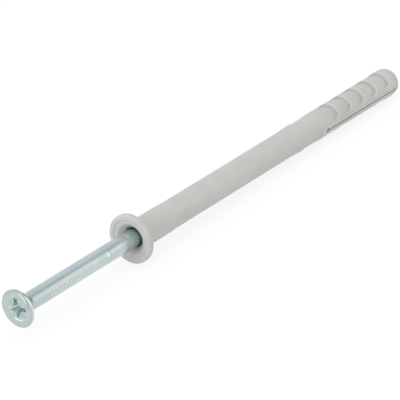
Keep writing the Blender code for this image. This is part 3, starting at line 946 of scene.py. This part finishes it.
def nailLine():
    n, rule = nail, nail["rule"]
    corner = n["headRim"] + (n["headRadius"] - n["radius"]) / math.tan(n["coneAngle"])
    line = [(0.0, 0.0), (n["faceRadius"], 0.0)]
    edge = n["headEdge"]
    line += arc((n["headRadius"] - edge, edge), (edge, edge), -math.pi / 2, 0.0, 6)
    reach = n["neckFillet"] * math.tan(n["coneAngle"] / 2)
    side = roundedLine([
        (n["headRadius"], edge + 0.1),
        (n["headRadius"], n["headRim"]),
        (n["radius"], corner),
        (n["radius"], corner + 2 * reach + 1.0),
    ], [0, n["rimCorner"], n["neckFillet"] * 0.8, 0], 8)
    line += side
    ringStart = (rule["first ring"] - rule["ring pitch"]) / mm
    ringEnd = ringStart + (rule["ring count"] + 1) * rule["ring pitch"] / mm
    bead, beadReach = rule["bead place"] / mm, n["beadReach"]
    shankEnd, stepStart, firstRow = (rule["thread start"] / mm + past for past in n["threadRows"])
    heights = steps(side[-1][1] + 0.5, ringStart, n["plainRow"])
    heights += steps(ringStart, ringEnd, n["ringRow"])
    heights += steps(ringEnd, bead - beadReach, n["plainRow"])
    heights += steps(bead - beadReach, bead + beadReach, n["beadRow"])
    heights += steps(bead + beadReach, shankEnd, n["hiddenRow"])
    line += [(n["radius"], z) for z in heights]
    chamfer = n["radius"] - n["coreRadius"]
    line += [(n["radius"], stepStart), (n["coreRadius"], stepStart + chamfer)]
    pointStart = n["length"] - n["pointLength"]
    threaded = steps(firstRow + chamfer, pointStart, n["threadRow"])
    line += [(n["coreRadius"], z) for z in threaded + [pointStart]]
    line += [(radius, n["length"] - left) for radius, left in n["point"]]
    return line


def recessWing():
    # one tapered wing of the cross with a rounded end, from the middle outwards along +X
    n = nail
    work = bmesh.new()
    rings = []
    bend, bendLength, bendWidth = n["wingBend"]
    for z, spread, width in (
        (-n["recessOver"], 1.0, 1.0),
        (0.0, 1.0, 1.0),
        (n["recessDepth"] * bend, bendLength, bendWidth),
        (n["recessDepth"], n["recessTaper"], n["wingTaper"]),
    ):
        half = n["wingWidth"] / 2 * width
        reach = n["wingLength"] * spread
        center, radii = (reach - half * 0.5, 0.0), (half * 0.5, half)
        outline = [(-half * 0.6, -half)]
        outline += arc(center, radii, -math.pi / 2, math.pi / 2, 6)
        outline += [(-half * 0.6, half)]
        rings.append([work.verts.new((px * mm, py * mm, z * mm)) for px, py in outline])
    count = len(rings[0])
    for ring, after in zip(rings, rings[1:]):
        for i in range(count):
            j = (i + 1) % count
            work.faces.new((ring[i], ring[j], after[j], after[i]))
    work.faces.new(rings[0])
    work.faces.new(rings[-1])
    bmesh.ops.recalc_face_normals(work, faces=work.faces)
    mesh = bpy.data.meshes.new("recessWing")
    work.to_mesh(mesh)
    work.free()
    wing = bpy.data.objects.new("recessWing", mesh)
    bpy.context.scene.collection.objects.link(wing)
    return wing


def turnedCopies(tree, work, geometry, count, offset):
    # copies of one shape turned evenly about Z
    points = setNode(tree, "GeometryNodePoints", {"Count": count}).outputs[0]
    index = setNode(tree, "GeometryNodeInputIndex").outputs[0]
    turn = work("ADD", work("MULTIPLY", index, 2 * math.pi / count), offset)
    turns = setNode(tree, "ShaderNodeCombineXYZ", {"Z": turn}).outputs[0]
    settings = {"Points": points, "Instance": geometry, "Rotation": turns}
    copies = setNode(tree, "GeometryNodeInstanceOnPoints", settings).outputs[0]
    return setNode(tree, "GeometryNodeRealizeInstances", {"Geometry": copies}).outputs[0]


def recessCutter(tree, work, wing):
    # four wings, the round middle and the four marks between the wings
    n = nail
    shape = setNode(tree, "GeometryNodeObjectInfo", {"Object": wing}, transform_space="ORIGINAL")
    wings = turnedCopies(tree, work, shape.outputs["Geometry"], 4, 0.0)
    settings = {
        "Vertices": n["middleSides"],
        "Radius Top": n["middleRadius"] * n["recessTaper"] * mm,
        "Radius Bottom": n["middleRadius"] * mm,
        "Depth": (n["recessDepth"] + n["middleOver"]) * mm,
    }
    cone = setNode(tree, "GeometryNodeMeshCone", settings).outputs["Mesh"]
    middle = placed(tree, cone, (0.0, 0.0, n["middleLift"] * mm))
    size = (n["markEnd"] - n["markStart"], n["markWidth"], 2 * n["markDepth"])
    size = tuple(value * mm for value in size)
    box = setNode(tree, "GeometryNodeMeshCube", {"Size": size}).outputs["Mesh"]
    mark = placed(tree, box, ((n["markEnd"] + n["markStart"]) / 2 * mm, 0.0, 0.0))
    marks = turnedCopies(tree, work, mark, 4, math.pi / 4)
    return oneCutter(tree, (wings, middle, marks), True)


def nailTree(material, wing):
    tree, identifiers, given = newTree("nail shape", nail["rule"])
    work = maths(tree)
    x, y, z, radius, outward = pointReadings(tree, work)
    angle = work("ARCTAN2", y, x)

    firstHalf = work("MULTIPLY", given["ring pitch"], 0.5)
    along = work("SUBTRACT", z, work("SUBTRACT", given["first ring"], firstHalf))
    ring = work("DIVIDE", along, given["ring pitch"])
    share = work("SUBTRACT", ring, work("FLOOR", ring))
    off = eased(tree, work("ABSOLUTE", work("SUBTRACT", share, 0.5)), *nail["ringFlank"])
    dip = work("MULTIPLY", work("SUBTRACT", 1.0, off), given["ring depth"])
    counted = work(
        "MULTIPLY", work("GREATER_THAN", ring, 0.0), work("LESS_THAN", ring, given["ring count"])
    )
    fromMark = work("ABSOLUTE", awayFrom(work, angle, given["mark turn"], math.pi))
    half = given["mark half angle"]
    full = work("MULTIPLY", half, nail["markFlank"])
    sided = work("SUBTRACT", 1.0, eased(tree, fromMark, full, half))
    rings = work("MULTIPLY", dip, counted, sided)

    away = work("ABSOLUTE", work("SUBTRACT", z, given["bead place"]))
    ends = [work("MULTIPLY", given["bead width"], part) for part in nail["beadFlank"]]
    off = eased(tree, away, *ends)
    bead = work("MULTIPLY", work("SUBTRACT", 1.0, off), given["bead height"])

    # the nib bows back at its ends, rises slowly and falls steeply
    aside = awayFrom(work, angle, given["nib turn"], math.pi)
    bow = work("MULTIPLY", work("MULTIPLY", aside, aside), given["nib curve"])
    past = work("SUBTRACT", work("ADD", z, bow), given["nib place"])
    rise = given["nib rise"]
    up = eased(tree, past, work("MULTIPLY", rise, -1.0), rise)
    down = work("SUBTRACT", 1.0, eased(tree, past, rise, given["nib end"]))
    narrow = work("SUBTRACT", 1.0, eased(tree, work("ABSOLUTE", aside), *nail["nibFlank"]))
    nib = work("MULTIPLY", work("MULTIPLY", up, down), narrow, given["nib height"])

    # one tooth of the thread: a steep rise, a short crest and a long fall
    wound = work("DIVIDE", work("SUBTRACT", z, given["thread start"]), given["thread pitch"])
    wound = work("SUBTRACT", wound, work("DIVIDE", angle, 2 * math.pi))
    share = work("SUBTRACT", wound, work("FLOOR", wound))
    rising = work("DIVIDE", share, given["steep share"])
    flat = work("ADD", given["steep share"], given["crest share"])
    falling = work("DIVIDE", work("SUBTRACT", 1.0, share), work("SUBTRACT", 1.0, flat))
    tooth = work("MINIMUM", rising, falling, 1.0)
    left = work("SUBTRACT", given["thread end"], z)
    fade = eased(tree, left, 0.0, given["thread runout"])
    zone, skin = nail["threadZone"]
    slim = work("LESS_THAN", radius, (nail["coreRadius"] + skin) * mm)
    before = work("LESS_THAN", z, given["thread end"])
    thread = work("MULTIPLY", tooth, given["thread height"], fade, work("MULTIPLY", slim, before))

    # the head and its recess keep their places
    start, inner = (least * mm for least in nail["shankStart"])
    shank = work("MULTIPLY", work("GREATER_THAN", z, start), work("GREATER_THAN", radius, inner))
    amount = work("MULTIPLY", work("SUBTRACT", work("ADD", bead, nib), rings), shank)
    threaded = work("MULTIPLY", thread, work("GREATER_THAN", z, zone * mm))
    shaped = pushOut(tree, given["Geometry"], outward, work("ADD", amount, threaded))
    cutter = recessCutter(tree, work, wing)
    endTree(tree, cutAway(tree, shaped, cutter), material, nail["sharpAngle"])
    return tree, identifiers


zincFinish = zincPlate()
print("zinc finish made")
count = nail["columns"]
nailAngles = [2 * math.pi * (i + 0.5) / count for i in range(count)]
base = turnedMesh("nailBase", nailLine(), nailAngles, closedLine=False)
wing = recessWing()
tree, identifiers = nailTree(zincFinish, wing)
drawnBack = Matrix.Translation((0.0, 0.0, -nail["exposed"] * mm))
nailTurn = lyingMatrix() @ drawnBack @ Matrix.Rotation(nail["roll"], 4, "Z")
hammerNail = plainPiece("hammerNail", base, tree, identifiers, nail["rule"], nailTurn)
bpy.data.objects.remove(wing)
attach(hammerNail, "nail_body")
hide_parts("drive_nail")
print("nail made", len(hammerNail.data.polygons))


# studio: a pale floor, a white dome and two soft lamps

studio = {
    "domeLevel": 1.02,
    "keyLevel": 0.9,
    "keyPlace": (0.10, 0.05, 0.85),
    "keySize": 0.6,
    "fillLevel": 1.9,
    "fillPlace": (-0.90, 0.08, 0.26),
    "fillSize": 0.5,
    "floorHalf": 6.0,
    "floorHeight": -1e-5,
    "floorGlow": 0.82,
    "floorTone": 0.20,
    "floorBounce": 0.86,
    # panels that only bright metal mirrors: direction, inner and outer reach in degrees, tone
    "panels": (
        ((0.672, -0.130, 0.726), 5, 25, (0.64, 0.68, 0.71)),
        ((0.70, 0.52, 0.48), 15, 50, (0.86, 0.91, 0.96)),
        ((0.98, -0.05, 0.12), 8, 26, (0.55, 0.58, 0.58)),
        ((0.672, -0.60, 0.43), 6, 30, (1.20, 1.19, 1.17)),
    ),
}


def seenDirectly(tree):
    # 1 for camera, glossy and transmission rays
    path = setNode(tree, "ShaderNodeLightPath").outputs
    kinds = ("Is Camera Ray", "Is Glossy Ray", "Is Transmission Ray")
    return maths(tree)("MAXIMUM", *(path[kind] for kind in kinds))


def grey(level):
    return (level, level, level, 1.0)


def makeFloor():
    half, height = studio["floorHalf"], studio["floorHeight"]
    mesh = bpy.data.meshes.new("floor")
    corners = [(px * half, py * half, height) for px, py in ((-1, -1), (1, -1), (1, 1), (-1, 1))]
    mesh.from_pydata(corners, [], [(0, 1, 2, 3)])
    floor = bpy.data.objects.new("floor", mesh)
    bpy.context.scene.collection.objects.link(floor)
    material, tree = newMaterial("paleFloor")
    tree.nodes.clear()
    thin = setNode(tree, "ShaderNodeBsdfDiffuse", {"Color": grey(studio["floorTone"])})
    glow = setNode(tree, "ShaderNodeEmission", {"Strength": studio["floorGlow"]})
    both = setNode(tree, "ShaderNodeAddShader", {0: thin.outputs[0], 1: glow.outputs[0]})
    bounce = setNode(tree, "ShaderNodeBsdfDiffuse", {"Color": grey(studio["floorBounce"])})
    sides = {0: seenDirectly(tree), 1: bounce.outputs[0], 2: both.outputs[0]}
    mix = setNode(tree, "ShaderNodeMixShader", sides)
    setNode(tree, "ShaderNodeOutputMaterial", {"Surface": mix.outputs[0]})
    mesh.materials.append(material)


def makeWorld():
    world = bpy.data.worlds.new("studio")
    bpy.context.scene.world = world
    world.use_nodes = True
    tree = world.node_tree
    tree.nodes.clear()
    dome = setNode(tree, "ShaderNodeBackground", {"Strength": studio["domeLevel"]})
    direction = setNode(tree, "ShaderNodeTexCoord").outputs["Generated"]
    glossy = setNode(tree, "ShaderNodeLightPath").outputs["Is Glossy Ray"]
    color = grey(1.0)
    for toward, inner, outer, shade in studio["panels"]:
        sides = {0: direction, 1: Vector(toward).normalized()}
        near = setNode(tree, "ShaderNodeVectorMath", sides, operation="DOT_PRODUCT")
        ends = [math.cos(math.radians(reach)) for reach in (outer, inner)]
        mirrored = eased(tree, near.outputs["Value"], *ends)
        mirrored = maths(tree)("MULTIPLY", mirrored, glossy)
        color = setNode(
            tree, "ShaderNodeMix", {"Factor": mirrored, "A": color, "B": (*shade, 1.0)},
            data_type="RGBA", blend_type="MULTIPLY",
        ).outputs["Result"]
    white = setNode(tree, "ShaderNodeBackground", {"Color": color})
    sides = {0: seenDirectly(tree), 1: dome.outputs[0], 2: white.outputs[0]}
    mix = setNode(tree, "ShaderNodeMixShader", sides)
    setNode(tree, "ShaderNodeOutputWorld", {"Surface": mix.outputs[0]})


def makeLamp(name):
    data = bpy.data.lights.new(name, "AREA")
    data.shape = "DISK"
    data.size = studio[name + "Size"]
    data.energy = studio[name + "Level"]
    lamp = bpy.data.objects.new(name, data)
    bpy.context.scene.collection.objects.link(lamp)
    lamp.location = studio[name + "Place"]
    lamp.rotation_euler = (-lamp.location).to_track_quat("-Z", "Y").to_euler()


makeFloor()
makeWorld()
makeLamp("key")
makeLamp("fill")

camera = {
    "place": (-0.579411, -0.45273, 0.443899),
    "direction": (0.67243559, 0.53154187, -0.51506662),
    "lens": 278.95,
    "clip": (0.01, 20.0),
}
eye = bpy.data.objects.new("camera", bpy.data.cameras.new("camera"))
bpy.context.scene.collection.objects.link(eye)
eye.data.lens = camera["lens"]
eye.data.clip_start, eye.data.clip_end = camera["clip"]
eye.location = camera["place"]
eye.rotation_euler = Vector(camera["direction"]).to_track_quat("-Z", "Y").to_euler()
bpy.context.scene.camera = eye
bpy.context.scene.view_settings.view_transform = "Standard"
print("studio made")
